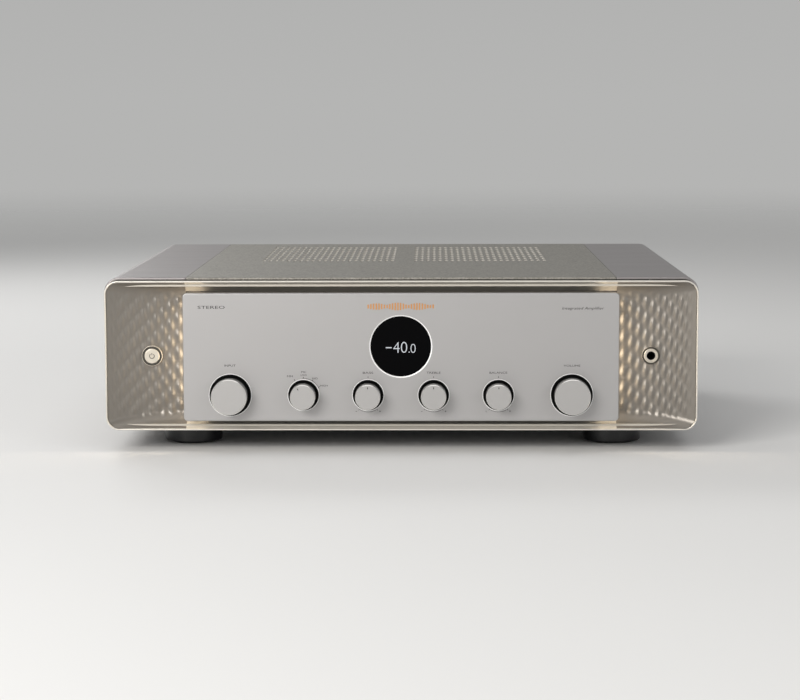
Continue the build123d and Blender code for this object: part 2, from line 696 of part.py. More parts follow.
def transformer_clamp():
    """Dished washer, its bolt and the pad that the transformer sits on."""
    z_top = FLOOR_TOP + 3 + TOROID_HEIGHT
    bolt = post(TOROID_X, TOROID_Y, 4.0, FLOOR_TOP, z_top + 6)
    pad = post(TOROID_X, TOROID_Y, TOROID_R - 6, FLOOR_TOP, FLOOR_TOP + 2.9)
    washer = post(TOROID_X, TOROID_Y, 32.0, z_top + 0.1, z_top + 2.1)
    nut = along_z(Pos(TOROID_X, TOROID_Y) * RegularPolygon(7.5, 6), z_top + 2.1, z_top + 8)
    return bolt + pad + washer + nut


def power_supply_board():
    x0, _, y0, _ = SUPPLY
    top = BOARD_Z + BOARD_THICK
    made = board(SUPPLY)
    made += block(x0 + 10, x0 + 48, y0 + 16, y0 + 50, top, top + 30)
    made += block(x0 + 10, x0 + 90, y0 + 118, y0 + 124, top, top + 38)
    made += block(x0 + 108, x0 + 140, y0 + 20, y0 + 44, top, top + 22)
    return made


def smoothing_capacitors():
    top = BOARD_Z + BOARD_THICK + 0.05
    x0, _, y0, _ = SUPPLY
    cans = []
    for column in range(2):
        for row in range(2):
            can = post(x0 + 76 + column * 36, y0 + 68 + row * 32, 14.0, top, top + 46)
            cans.append(fillet(can.edges().filter_by(GeomType.CIRCLE).sort_by(Axis.Z)[-1], 1.5))
    return cans


def power_amp_modules():
    made = []
    for area in (AMP_LEFT, AMP_RIGHT):
        x0, x1, y0, y1 = area
        top = BOARD_Z + BOARD_THICK
        module = board(area)
        module += block(x0 + 14, x1 - 14, y0 + 12, y0 + 18, top, top + 42)
        for fin in range(8):
            x = x0 + 18 + fin * 8.8
            module += block(x, x + 2, y0 + 18, y0 + 40, top + 2, top + 42)
        module += block(x0 + 20, x0 + 44, y0 + 52, y0 + 76, top, top + 24)
        module += post(x1 - 26, y0 + 62, 11, top, top + 20)
        made.append(module)
    return made


def preamp_board():
    x0, x1, y0, y1 = PREAMP
    top = BOARD_Z + BOARD_THICK
    made = board(PREAMP)
    for column in range(5):
        made += block(x0 + 14 + column * 27, x0 + 30 + column * 27, y0 + 30, y0 + 40, top, top + 11)
        made += post(x0 + 22 + column * 27, y0 + 62, 5.0, top, top + 16)
        made += block(x0 + 16 + column * 27, x0 + 28 + column * 27, y0 + 84, y0 + 96, top, top + 3)
    return made


# ---------------------------------------------------------------- assembly
def build():
    bezel = front_bezel()
    right_cover = side_cover_right()
    nodes = {
        "front_bezel": bezel,
        "backdrop_right": backdrop_right(JACK_R + 1.4),
        "backdrop_left": mirrored(backdrop_right(FITTING_R - 0.6)),
        "front_subpanel": front_subpanel(),
        "faceplate": faceplate(),
        "faceplate_carrier": faceplate_carrier(),
        "light_bars": light_bars(),
        "display_window": display_window(),
        "display_module": display_module(),
        "encoder_bodies": encoder_bodies(),
        "selector_switch": selector_switch(),
        "tone_pots": tone_pots(),
        "control_nuts": control_nuts(),
        "control_board": control_board(),
        "power_button": power_button(),
        "power_button_ring": power_button_ring(),
        "power_switch": power_switch(),
        "headphone_nut": headphone_nut(),
        "headphone_socket": headphone_socket(),
        "side_cover_right": right_cover,
        "side_cover_left": mirrored(right_cover),
        "top_panel": top_panel(),
        "bottom_chassis": bottom_chassis(),
        "rear_panel": rear_panel(),
        "feet": feet(),
        "foot_pads": foot_pads(),
        "case_screws": case_screws(),
        "rca_jack_shells": rca_jack_shells(),
        "rca_jack_blocks": rca_jack_blocks(),
        "terminal_rods": terminal_rods(),
        "terminal_bases": terminal_bases(),
        "ground_washer": ground_washer(),
        "ground_cap": ground_cap(),
        "ac_inlet": ac_inlet(),
        "toroidal_transformer": toroidal_transformer(),
        "transformer_clamp": transformer_clamp(),
        "power_supply_board": power_supply_board(),
        "smoothing_capacitors": smoothing_capacitors(),
        "power_amp_modules": power_amp_modules(),
        "preamp_board": preamp_board(),
    }
    for name, (x, radius, pointer) in KNOBS.items():
        nodes[name + "_knob"] = knob(x, radius, pointer)
        nodes[name + "_shaft"] = shaft(x)
    for number, x in enumerate(POST_XS, start=1):
        nodes[f"speaker_washer_{number}"] = speaker_washer(x)
        nodes[f"speaker_cap_{number}"] = speaker_cap(x)
    return nodes


os.makedirs("parts", exist_ok=True)
for node_name, shape in build().items():
    pieces = shape if isinstance(shape, list) else shape.solids()
    export_step(Compound(children=[s for piece in pieces for s in piece.solids()]), f"parts/{node_name}.step")
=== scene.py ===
import math

import bmesh
import bpy
import numpy as np
from mathutils import Matrix, Vector


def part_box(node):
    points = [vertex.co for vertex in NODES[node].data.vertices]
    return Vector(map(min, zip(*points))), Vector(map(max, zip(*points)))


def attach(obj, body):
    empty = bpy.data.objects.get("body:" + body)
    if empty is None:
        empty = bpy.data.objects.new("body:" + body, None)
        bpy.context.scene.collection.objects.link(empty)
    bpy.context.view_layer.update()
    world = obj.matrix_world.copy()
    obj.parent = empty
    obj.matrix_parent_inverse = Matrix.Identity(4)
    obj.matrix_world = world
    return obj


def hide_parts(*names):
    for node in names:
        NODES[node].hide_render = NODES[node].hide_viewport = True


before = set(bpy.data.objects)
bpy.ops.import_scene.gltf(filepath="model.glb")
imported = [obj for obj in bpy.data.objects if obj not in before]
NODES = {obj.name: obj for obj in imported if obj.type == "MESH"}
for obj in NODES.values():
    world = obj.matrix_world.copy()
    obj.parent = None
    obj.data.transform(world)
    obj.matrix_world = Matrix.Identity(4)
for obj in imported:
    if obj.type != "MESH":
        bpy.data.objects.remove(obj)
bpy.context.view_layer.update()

# ---------------------------------------------------------------- sizes from the CAD, in metres
MM = 0.001
Y_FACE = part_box("faceplate")[0].y
Y_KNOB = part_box("volume_knob")[0].y
Y_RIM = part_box("front_bezel")[0].y
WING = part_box("backdrop_right")
Y_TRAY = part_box("front_subpanel")[0].y
Y_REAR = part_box("rear_panel")[1].y


def centre(node):
    low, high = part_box(node)
    return (low + high) / 2


CONTROL_Z = centre("volume_knob").z
CONTROLS = ("input", "selector", "bass", "treble", "balance", "volume")
KNOB_X = {name: centre(name + "_knob").x for name in CONTROLS}
BUTTON = centre("power_button")
JACK = centre("headphone_nut")
DISPLAY = centre("display_window")


# ---------------------------------------------------------------- materials
def linear(*rgb):
    """sRGB values from 0 to 255 as the linear colour that a shader takes."""
    out = []
    for value in rgb:
        c = value / 255
        out.append(c / 12.92 if c <= 0.04045 else ((c + 0.055) / 1.055) ** 2.4)
    return (*out, 1.0)


def material(name, colour, rough, metallic=0.0, **inputs):
    made = bpy.data.materials.new(name)
    made.use_nodes = True
    shader = made.node_tree.nodes["Principled BSDF"]
    shader.inputs["Base Color"].default_value = colour
    shader.inputs["Roughness"].default_value = rough
    shader.inputs["Metallic"].default_value = metallic
    for key, value in inputs.items():
        shader.inputs[key.replace("_", " ")].default_value = value
    return made


def shader_of(made):
    return made.node_tree.nodes["Principled BSDF"]


def object_coordinates(made, scale=(1, 1, 1)):
    nodes, links = made.node_tree.nodes, made.node_tree.links
    coordinate = nodes.new("ShaderNodeTexCoord")
    mapping = nodes.new("ShaderNodeMapping")
    mapping.inputs["Scale"].default_value = scale
    links.new(coordinate.outputs["Object"], mapping.inputs["Vector"])
    return mapping.outputs["Vector"]


def noise(made, scale, detail=2.0, stretch=(1, 1, 1)):
    """Noise that is fixed to the object; scale is in features a metre."""
    node = made.node_tree.nodes.new("ShaderNodeTexNoise")
    node.inputs["Scale"].default_value = scale
    node.inputs["Detail"].default_value = detail
    made.node_tree.links.new(object_coordinates(made, stretch), node.inputs["Vector"])
    return node.outputs["Fac"]


def ranged(made, value, low, high):
    """The 0 to 1 value spread over low to high."""
    node = made.node_tree.nodes.new("ShaderNodeMapRange")
    node.inputs["To Min"].default_value = low
    node.inputs["To Max"].default_value = high
    made.node_tree.links.new(value, node.inputs["Value"])
    return node.outputs["Result"]


def add_grain(made, scale, strength, distance, stretch=(1, 1, 1), detail=2.0):
    """Fine surface relief."""
    bump = made.node_tree.nodes.new("ShaderNodeBump")
    bump.inputs["Strength"].default_value = strength
    bump.inputs["Distance"].default_value = distance
    made.node_tree.links.new(noise(made, scale, detail, stretch), bump.inputs["Height"])
    made.node_tree.links.new(bump.outputs["Normal"], shader_of(made).inputs["Normal"])
    return made


def vary_roughness(made, scale, low, high, stretch=(1, 1, 1)):
    result = ranged(made, noise(made, scale, 3.0, stretch), low, high)
    made.node_tree.links.new(result, shader_of(made).inputs["Roughness"])
    return made


def knob_depth(made):
    """0 at the knobs' fronts, 1 at the faceplate: the share for the painted shade on the knob
    sides.
    """
    split = made.node_tree.nodes.new("ShaderNodeSeparateXYZ")
    made.node_tree.links.new(object_coordinates(made), split.inputs["Vector"])
    share = made.node_tree.nodes.new("ShaderNodeMapRange")
    share.inputs["From Min"].default_value = Y_KNOB
    share.inputs["From Max"].default_value = Y_FACE
    made.node_tree.links.new(split.outputs["Y"], share.inputs["Value"])
    return share.outputs["Result"]


def vary_colour(made, scale, first, second, stretch=(1, 1, 1), detail=4.0):
    nodes, links = made.node_tree.nodes, made.node_tree.links
    ramp = nodes.new("ShaderNodeValToRGB")
    ramp.color_ramp.elements[0].position = 0.35
    ramp.color_ramp.elements[1].position = 0.65
    ramp.color_ramp.elements[0].color = first
    ramp.color_ramp.elements[1].color = second
    links.new(noise(made, scale, detail, stretch), ramp.inputs["Fac"])
    links.new(ramp.outputs["Color"], shader_of(made).inputs["Base Color"])
    return made


def paint_depth_shade(made, share, front, back):
    """Painted shade: the colour runs from front to back as share runs from 0 to 0.9."""
    ramp = made.node_tree.nodes.new("ShaderNodeValToRGB")
    ramp.color_ramp.elements[0].color = front
    ramp.color_ramp.elements[1].color = back
    ramp.color_ramp.elements[1].position = 0.9
    made.node_tree.links.new(share, ramp.inputs["Fac"])
    made.node_tree.links.new(ramp.outputs["Color"], shader_of(made).inputs["Base Color"])
    return made


def glow(name, colour, strength):
    made = material(name, (0, 0, 0, 1), 0.6)
    shader_of(made).inputs["Emission Color"].default_value = colour
    shader_of(made).inputs["Emission Strength"].default_value = strength
    return made


# Each material: colour, roughness, share of metal. Grain: features a metre, strength, height.
face_metal = material("face_satin", linear(178, 176, 175), 0.45, 0.75)
add_grain(face_metal, 2600, 0.12, 0.00004)
knob_metal = material("knob_satin", linear(184, 182, 180), 0.4, 0.75)
add_grain(knob_metal, 2600, 0.08, 0.00003)
# Painted highlight: the knobs' polished front chamfers, painted lighter than the knob metal.
edge_highlight_metal = material("edge_painted_highlight", linear(236, 234, 230), 0.3, 0.9)
# Painted shade: near black for the dished rings and bores around the knobs and the power button's
# sides.
shade_black = material("painted_shade_black", linear(20, 19, 19), 0.4, 0.3)
# Painted shade: knob sides, light grey at the front to near black at the faceplate.
knob_side_painted_shade = material("knob_side_painted_shade", linear(120, 118, 116), 0.42, 0.6)
paint_depth_shade(knob_side_painted_shade, knob_depth(knob_side_painted_shade), linear(176, 174, 171), linear(10, 10, 10))
# Painted highlight: near-white lines at the edges of the knob holes and on the display's dished
# ring.
highlight_white = material("painted_highlight_line", linear(246, 245, 243), 0.5, 0.2)
bezel_metal = material("bezel_satin", linear(196, 190, 179), 0.5, 0.3)
add_grain(bezel_metal, 2200, 0.1, 0.00004)
wing_metal = material("wing_satin", linear(124, 119, 112), 0.36, 0.55)
add_grain(wing_metal, 2200, 0.1, 0.00003)
cover_metal = material("cover_satin", linear(152, 147, 146), 0.38, 0.75)
vary_roughness(cover_metal, 60, 0.34, 0.44, (0.2, 1, 1))
top_metal = material("top_grained", linear(150, 147, 139), 0.5, 0.6)
vary_colour(top_metal, 620, linear(124, 121, 114), linear(160, 156, 148), detail=6.0)
add_grain(top_metal, 1300, 0.5, 0.00018, detail=4.0)
# Painted highlight: the vent slot walls, lighter than the top panel.
slot_highlight_metal = material("slot_painted_highlight", linear(206, 202, 194), 0.45, 0.4)
# Painted highlight: the bezel's front rim, lighter than the bezel.
rim_highlight_metal = material("rim_painted_highlight", linear(222, 217, 208), 0.35, 0.6)
trim_metal = material("trim_satin", linear(214, 206, 192), 0.35, 0.7)
# Painted shade: the power button collar's inner well and the jack nut's flange.
shade_trim = material("trim_dark", linear(84, 80, 74), 0.35, 0.8)
rear_black = material("rear_black", linear(30, 30, 31), 0.55)
add_grain(rear_black, 1500, 0.25, 0.0001)
steel = material("zinc_steel", linear(150, 152, 156), 0.38, 0.9)
vary_colour(steel, 120, linear(132, 136, 142), linear(168, 168, 168))
subpanel_metal = material("subpanel_satin", linear(120, 114, 106), 0.45, 0.7)
component = material("component_steel", linear(178, 178, 178), 0.3, 0.95)
screw_black = material("screw_black", linear(44, 44, 46), 0.35, 0.8)
plastic = material("black_plastic", linear(24, 24, 25), 0.5)
add_grain(plastic, 900, 0.15, 0.0001)
carrier_plastic = material("carrier_plastic", linear(34, 33, 32), 0.55)
foot_plastic = material("foot_plastic", linear(20, 21, 23), 0.28)
add_grain(foot_plastic, 1200, 0.04, 0.00005)
rubber = material("pad_rubber", linear(26, 26, 26), 0.85)
add_grain(rubber, 700, 0.3, 0.0002)
red_plastic = material("red_plastic", linear(168, 22, 22), 0.35)
white_plastic = material("white_plastic", linear(226, 224, 216), 0.4)
black_gloss = material("black_gloss", linear(18, 18, 19), 0.25)
gold = material("plated_gold", linear(236, 190, 100), 0.2, 1.0)
glass = material("display_glass", linear(2, 2, 3), 0.14, 0.0, Specular_IOR_Level=0.05)
board_green = material("circuit_green", linear(18, 62, 40), 0.4)
vary_colour(board_green, 260, linear(12, 48, 32), linear(26, 78, 50))
part_black = material("part_black", linear(28, 28, 30), 0.45)
fin_metal = material("heatsink_black", linear(38, 38, 40), 0.45, 0.6)
wrap = material("transformer_wrap", linear(30, 30, 32), 0.6)
sleeve = material("capacitor_sleeve", linear(26, 28, 40), 0.3)
ink = material("label_ink", linear(34, 32, 31), 0.6)
white_ink = material("label_white", linear(214, 214, 212), 0.6)
copper = material("emblem_copper", linear(216, 158, 100), 0.32, 0.85)
warm_light = glow("warm_light", linear(255, 238, 212), 10.0)
digits = glow("display_digits", linear(236, 240, 246), 0.75)


def paint(node, first, *others):
    """The node's materials. Every face takes the first until paint_where gives it another."""
    mesh = NODES[node].data
    mesh.materials.clear()
    for made in (first, *others):
        mesh.materials.append(made)
    for polygon in mesh.polygons:
        polygon.material_index = 0


def paint_where(node, index, test):
    """The material of that index on each face whose centre and normal pass the test."""
    mesh = NODES[node].data
    for polygon in mesh.polygons:
        if test(polygon.center, polygon.normal):
            polygon.material_index = index


def off_axis(point, spot):
    """Distance from the front-to-back axis through the spot."""
    return math.hypot(point.x - spot.x, point.z - spot.z)


PAINT = {
    "bottom_chassis": steel, "front_subpanel": subpanel_metal, "faceplate_carrier": carrier_plastic,
    "light_bars": warm_light, "display_window": glass, "display_module": part_black,
    "encoder_bodies": component, "selector_switch": component, "tone_pots": component,
    "control_nuts": component, "power_switch": plastic, "side_cover_left": cover_metal,
    "side_cover_right": cover_metal, "rear_panel": rear_black, "feet": foot_plastic,
    "foot_pads": rubber, "case_screws": screw_black, "rca_jack_shells": gold,
    "terminal_rods": gold, "terminal_bases": plastic, "toroidal_transformer": wrap,
    "transformer_clamp": component, "smoothing_capacitors": sleeve, "ground_washer": component,
    "ground_cap": component, "backdrop_left": wing_metal, "backdrop_right": wing_metal,
}
for name in CONTROLS:
    PAINT[name + "_shaft"] = component
for number in range(1, 5):
    PAINT[f"speaker_cap_{number}"] = red_plastic if number % 2 == 0 else black_gloss
    PAINT[f"speaker_washer_{number}"] = gold
for node, made in PAINT.items():
    paint(node, made)

# Faceplate: painted shade on the dished rings and bore walls around the knobs, a painted highlight
# on the dished ring around the display.
RING_REACH = 24.5 * MM            # beyond the widest ring
RING_DEPTH = 0.9 * MM
HOLES = [Vector((x, 0, CONTROL_Z)) for x in KNOB_X.values()] + [Vector((0, 0, DISPLAY.z))]


def near_hole(point):
    return min(off_axis(point, hole) for hole in HOLES) < RING_REACH


def on_ring(point, normal):
    return near_hole(point) and -0.97 < normal.y < -0.2 and point.y < Y_FACE + RING_DEPTH


paint("faceplate", face_metal, shade_black, highlight_white)
# Painted shade on the knobs' dished rings and bore walls.
paint_where("faceplate", 1, on_ring)
paint_where("faceplate", 1, lambda p, n: near_hole(p) and abs(n.y) < 0.2)
# Painted highlight on the display's dished ring.
paint_where("faceplate", 2, lambda p, n: on_ring(p, n) and off_axis(p, HOLES[-1]) < RING_REACH)


def hole_edge(name):
    """Radius of the dished ring's outer edge around a knob: the plate's flat front starts there."""
    return min(
        math.hypot(v.co.x - KNOB_X[name], v.co.z - CONTROL_Z)
        for v in NODES["faceplate"].data.vertices if v.co.y < Y_FACE + 0.02 * MM
    )


# Knobs: front chamfer painted lighter as a painted highlight, inked pointer, and painted shade on
# the sides, darker towards the faceplate.
KNOB_EDGE = 0.52 * MM
POINTER_FROM, POINTER_TO = 0.1 * MM, 0.3 * MM
KNOB_SIDE = 0.6 * MM


def on_pointer(point, normal):
    return POINTER_FROM < point.y - Y_KNOB < POINTER_TO and abs(normal.y) > 0.98


for name in CONTROLS:
    node = name + "_knob"
    paint(node, knob_metal, edge_highlight_metal, ink, knob_side_painted_shade)
    # Painted highlight on the front chamfer.
    paint_where(node, 1, lambda p, n: p.y < Y_KNOB + KNOB_EDGE and -0.95 < n.y < -0.3)
    paint_where(node, 2, on_pointer)
    # Painted shade on the knob sides behind the front edge.
    paint_where(node, 3, lambda p, n: p.y > Y_KNOB + KNOB_SIDE)

# Bezel rim and vent slot walls with painted highlights, and the two fittings on the wings with
# painted shade in their grooves.
RIM_EDGE = 0.6 * MM
SLOTS_START = 20 * MM             # every slot wall lies further behind the rim than this
COLLAR_EDGE_R = 7.2 * MM
FLANGE_R = (5.4 * MM, 6.2 * MM)
BUTTON_EDGE = 0.7 * MM
SOCKET_FRONT = 1.2 * MM
BUTTON_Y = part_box("power_button")[0].y
JACK_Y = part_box("headphone_nut")[0].y
paint("top_panel", top_metal, slot_highlight_metal)
# Painted highlight on the vent slot walls.
paint_where("top_panel", 1, lambda p, n: abs(n.z) < 0.5 and p.y > Y_RIM + SLOTS_START)
paint("front_bezel", bezel_metal, rim_highlight_metal)
# Painted highlight on the front faces of the rim.
paint_where("front_bezel", 1, lambda p, n: p.y < Y_RIM + RIM_EDGE and n.y < -0.15)
# Painted shade in the collar's inner well; its outer edge keeps the trim metal.
paint("power_button_ring", shade_trim, trim_metal)
paint_where("power_button_ring", 1, lambda p, n: off_axis(p, BUTTON) > COLLAR_EDGE_R)
paint("power_button", trim_metal, shade_black)
# Painted shade on the button's sides inside the groove.
paint_where("power_button", 1, lambda p, n: p.y > BUTTON_Y + BUTTON_EDGE)
paint("headphone_nut", trim_metal, shade_trim)
# Painted shade on the flange front around the socket.
paint_where("headphone_nut", 1, lambda p, n: FLANGE_R[0] < off_axis(p, JACK) < FLANGE_R[1])
paint("headphone_socket", plastic, trim_metal)
paint_where("headphone_socket", 1, lambda p, n: p.y < JACK_Y + SOCKET_FRONT and n.y < -0.9)

# Rear sockets: white blocks above, red below, and the blades of the mains inlet.
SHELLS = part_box("rca_jack_shells")
SHELL_MIDDLE = centre("rca_jack_shells").z
OUTSIDE = Y_REAR + 0.2 * MM
INLET = centre("ac_inlet")
BLADES_HALF = (8.1 * MM, 4.1 * MM)
BLADES_DEPTH = 20 * MM


def on_blades(point, normal):
    beside, above = abs(point.x - INLET.x), abs(point.z - INLET.z)
    return beside < BLADES_HALF[0] and above < BLADES_HALF[1] and point.y > Y_REAR - BLADES_DEPTH


paint("rca_jack_blocks", part_black, white_plastic, red_plastic)
paint_where("rca_jack_blocks", 1, lambda p, n: p.y > OUTSIDE and p.z > SHELL_MIDDLE)
paint_where("rca_jack_blocks", 2, lambda p, n: p.y > OUTSIDE and p.z <= SHELL_MIDDLE)
paint("ac_inlet", plastic, component)
paint_where("ac_inlet", 1, on_blades)

# Circuit boards: green sheets with dark parts on them.
BOARD_THICK = 1.6 * MM
ABOVE_BOARD = BOARD_THICK + 0.1 * MM
PARTS = {
    "power_supply_board": fin_metal, "power_amp_modules": fin_metal, "preamp_board": part_black,
}
for node, made in PARTS.items():
    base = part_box(node)[0].z
    paint(node, board_green, made)
    paint_where(node, 1, lambda p, n: p.z > base + ABOVE_BOARD)
CONTROL_BOARD_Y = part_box("control_board")[0].y
paint("control_board", board_green, part_black)
paint_where("control_board", 1, lambda p, n: p.y > CONTROL_BOARD_Y + ABOVE_BOARD)


# ---------------------------------------------------------------- building pieces
def add_mesh(name, vertices, faces, made, body="chassis", smooth=False):
    """A new piece in the shared frame that moves with the body."""
    mesh = bpy.data.meshes.new(name)
    mesh.from_pydata([tuple(v) for v in vertices], [], faces)
    mesh.update()
    mesh.materials.append(made)
    if smooth:
        for polygon in mesh.polygons:
            polygon.use_smooth = True
    made_object = bpy.data.objects.new(name, mesh)
    bpy.context.scene.collection.objects.link(made_object)
    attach(made_object, body)
    return made_object


# ---------------------------------------------------------------- dimpled wings
WING_IN, WING_OUT = WING[0].x, WING[1].x
WING_RUN = WING_OUT - WING_IN
WING_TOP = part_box("front_bezel")[1].z - 1.4 * MM
WING_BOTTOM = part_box("front_bezel")[0].z + 1.4 * MM
WING_RISE = Y_TRAY - WING[0].y
WING_RADIUS = (WING_RUN ** 2 + WING_RISE ** 2) / (2 * WING_RISE)
WING_CORNER = 8.6 * MM
WING_GRID = 150, 240              # columns and rows of the mesh
WING_THICK = 1.0 * MM
FIRST_PITCH, LAST_PITCH = 6.2 * MM, 2.9 * MM
ROW_PITCH = 12.8 * MM
DIMPLE = 0.27 * MM
SLOPE_START, SLOPE_RATE = 0.6 * MM, 12.4 / 7.4
SLOPE_GAP, SLOPE_LIFT = 0.2 * MM, 0.3 * MM
SLOPE_BLEND = 10.0 * MM
PLAIN_EDGE, FADE = 5 * MM, 9 * MM  # a band without dimples, and the one in which they rise


def column_number(distance):
    """How many dimple columns lie between the wing's inner edge and this distance from it."""
    change = (LAST_PITCH - FIRST_PITCH) / WING_RUN
    return np.log(1 + change * distance / FIRST_PITCH) / change


def wing_height(x, z):
    """How far the wing stands forward of the tray at x from the centre, in metres."""
    across = np.clip(x - WING_IN, 0, WING_RUN)
    arc = WING_RADIUS - np.sqrt(WING_RADIUS ** 2 - across ** 2)
    edge = np.minimum(WING_TOP - z, z - WING_BOTTOM)
    lean = (np.clip(edge, 0, 1) + SLOPE_GAP) * SLOPE_RATE
    wall = Y_TRAY - Y_RIM - SLOPE_START - lean + SLOPE_LIFT
    mix = np.clip(0.5 + 0.5 * (arc - wall) / SLOPE_BLEND, 0, 1)
    base = wall * (1 - mix) + arc * mix + SLOPE_BLEND * mix * (1 - mix)
    fade = np.clip((edge - PLAIN_EDGE) / FADE, 0, 1)
    fade = fade * fade * (3 - 2 * fade)
    outer = np.clip((WING_OUT - x) / FADE, 0, 1)
    size = DIMPLE * (0.45 + 0.55 * (1 - across / WING_RUN))
    return base + dimples(across, z) * size * fade * outer


def dimples(across, z):
    """Three crossing waves, whose crests stand apart as upright lozenges."""
    column = column_number(across)
    wave = z / ROW_PITCH + column / 3
    return sum(np.cos(2 * np.pi * phase) for phase in (wave, column - wave, column))


def round_corners(grid_x, grid_z):
    """The grid with its two outer corners drawn in to the bezel's radius."""
    for z_edge, sign in ((WING_TOP, 1), (WING_BOTTOM, -1)):
        over = grid_x - (WING_OUT - WING_CORNER)
        beyond = sign * (grid_z - z_edge) + WING_CORNER
        far = np.hypot(np.clip(over, 0, None), np.clip(beyond, 0, None))
        outside = (over > 0) & (beyond > 0) & (far > WING_CORNER)
        shrink = np.where(outside, WING_CORNER / np.maximum(far, 1e-9), 1)
        grid_x = np.where(outside, WING_OUT - WING_CORNER + over * shrink, grid_x)
        grid_z = np.where(outside, z_edge + sign * (beyond * shrink - WING_CORNER), grid_z)
    return grid_x, grid_z


def weld(mesh):
    """Joins vertices that coincide and drops the ones without a face."""
    work = bmesh.new()
    work.from_mesh(mesh)
    bmesh.ops.remove_doubles(work, verts=work.verts, dist=1e-6)
    loose = [v for v in work.verts if not v.link_faces]
    bmesh.ops.delete(work, geom=loose, context="VERTS")
    work.to_mesh(mesh)
    work.free()


def wing(side, name, node, hole, hole_r):
    """The dimpled sheet on one side, with a round opening for its fitting."""
    columns, rows = WING_GRID
    grid_x, grid_z = round_corners(*np.meshgrid(
        np.linspace(WING_IN, WING_OUT, columns), np.linspace(WING_BOTTOM, WING_TOP, rows)))
    height = wing_height(grid_x, grid_z)
    vertices = np.stack([side * grid_x, Y_TRAY - height, grid_z], -1).reshape(-1, 3)
    faces = []
    for row in range(rows - 1):
        for column in range(columns - 1):
            a = row * columns + column
            quad = (a, a + 1, a + columns + 1, a + columns)
            x, _, z = vertices[list(quad)].mean(0)
            if math.hypot(x - hole.x, z - hole.z) > hole_r:
                faces.append(quad if side > 0 else quad[::-1])
    made = add_mesh(name, vertices, faces, wing_metal, smooth=True)
    weld(made.data)
    thick = made.modifiers.new("thickness", "SOLIDIFY")
    thick.thickness = WING_THICK
    thick.offset = -1
    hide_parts(node)


wing(-1, "wing_left", "backdrop_left", BUTTON, 6.7 * MM)
wing(1, "wing_right", "backdrop_right", JACK, 5.4 * MM)


# ---------------------------------------------------------------- lettering
def lettering(name, words, box, y, made, facing="front", weight=0.0, lean=0.0):
    """Flat letters fitted to box = (x0, x1, z0, z1) in metres on the plane y."""
    curve = bpy.data.curves.new(name, "FONT")
    curve.body = words
    curve.offset = weight
    curve.shear = lean
    curve.resolution_u = 3
    holder = bpy.data.objects.new(name + "_curve", curve)
    bpy.context.scene.collection.objects.link(holder)
    bpy.context.view_layer.update()
    shown = holder.evaluated_get(bpy.context.evaluated_depsgraph_get())
    mesh = bpy.data.meshes.new_from_object(shown)
    bpy.data.objects.remove(holder)
    bpy.data.curves.remove(curve)
    points = np.array([v.co for v in mesh.vertices])
    low, high = points.min(0), points.max(0)
    x0, x1, z0, z1 = box
    across = (points[:, 0] - low[0]) / (high[0] - low[0])
    if facing == "back":
        across = 1 - across
    up = (points[:, 1] - low[1]) / max(high[1] - low[1], 1e-9)
    placed = np.stack(
        [x0 + across * (x1 - x0), np.full(len(points), y), z0 + up * (z1 - z0)], -1)
    faces = [tuple(p.vertices) for p in mesh.polygons]
    bpy.data.meshes.remove(mesh)
    add_mesh(name, placed, faces, made)


def centred(x, z, width, height):
    return (x - width / 2, x + width / 2, z - height / 2, z + height / 2)


INK_GAP = 0.04 * MM               # print lies this far in front of its surface
INK_Y = Y_FACE - INK_GAP


def label(name, words, x, z, width, height, lean=0.0):
    """Dark words on the faceplate around x; z, width and height in millimetres."""
    box = centred(x, z * MM, width * MM, height * MM)
    lettering("label_" + name, words, box, INK_Y, ink, lean=lean)


LABELS = {                        # height of the centre, width
    "input": (65.4, 8.4), "volume": (65.2, 12.4),
    "bass": (60.0, 7.8), "treble": (60.0, 10.4), "balance": (60.0, 13.2),
}
for name, (z, width) in LABELS.items():
    label(name, name.upper(), KNOB_X[name], z, width, 1.55)
label("type", "Integrated Amplifier", 134.6 * MM, 107.6, 31, 2.6, lean=0.25)
label("series", "STEREO", -140.2 * MM, 108.8, 20, 2.2)


# ---------------------------------------------------------------- printed lines
def bar(name, x0, z0, x1, z1, width, made=ink, y=INK_Y, body="chassis"):
    """A thin printed stroke from one point to another."""
    along = Vector((x1 - x0, z1 - z0)).normalized() * width / 2
    nx, nz = -along.y, along.x
    ends = ((x0 + nx, z0 + nz), (x0 - nx, z0 - nz), (x1 - nx, z1 - nz), (x1 + nx, z1 + nz))
    add_mesh(name, [(x, y, z) for x, z in ends], [(0, 1, 2, 3)], made, body)


def around(x, z, degrees, distance):
    """A point around x, z, in degrees clockwise from the top."""
    angle = math.radians(degrees)
    return x + distance * math.sin(angle), z + distance * math.cos(angle)


def at_angle(knob, degrees, distance):
    return around(KNOB_X[knob], CONTROL_Z, degrees, distance)


def curved_line(name, x, z, start, end, inner, outer, steps, made, y=INK_Y, body="chassis"):
    """A printed arc around x, z; a whole turn closes on itself."""
    closed = end - start == 360
    vertices, faces = [], []
    for step in range(steps if closed else steps + 1):
        for distance in (inner, outer):
            px, pz = around(x, z, start + (end - start) * step / steps, distance)
            vertices.append((px, y, pz))
    for step in range(steps):
        a, b = step * 2, (step * 2 + 2) % len(vertices)
        faces.append((a, a + 1, b + 1, b))
    add_mesh(name, vertices, faces, made, body)


def scale(knob, start, end):
    """The thin arc of a control's scale."""
    middle, half = 12.6 * MM, 0.11 * MM
    curved_line("scale_" + knob, KNOB_X[knob], CONTROL_Z, start, end,
                middle - half, middle + half, 24, ink)


def tick(name, knob, degrees, start, end, width):
    """A short radial stroke; start, end and width in millimetres."""
    near, far = at_angle(knob, degrees, start * MM), at_angle(knob, degrees, end * MM)
    bar("tick_" + name, *near, *far, width * MM)


HOLE_LINE = 0.44 * MM
MARK_DISTANCE = 15.0 * MM
MARK_HALF = 0.6 * MM
MARK_WIDTH = 0.3 * MM
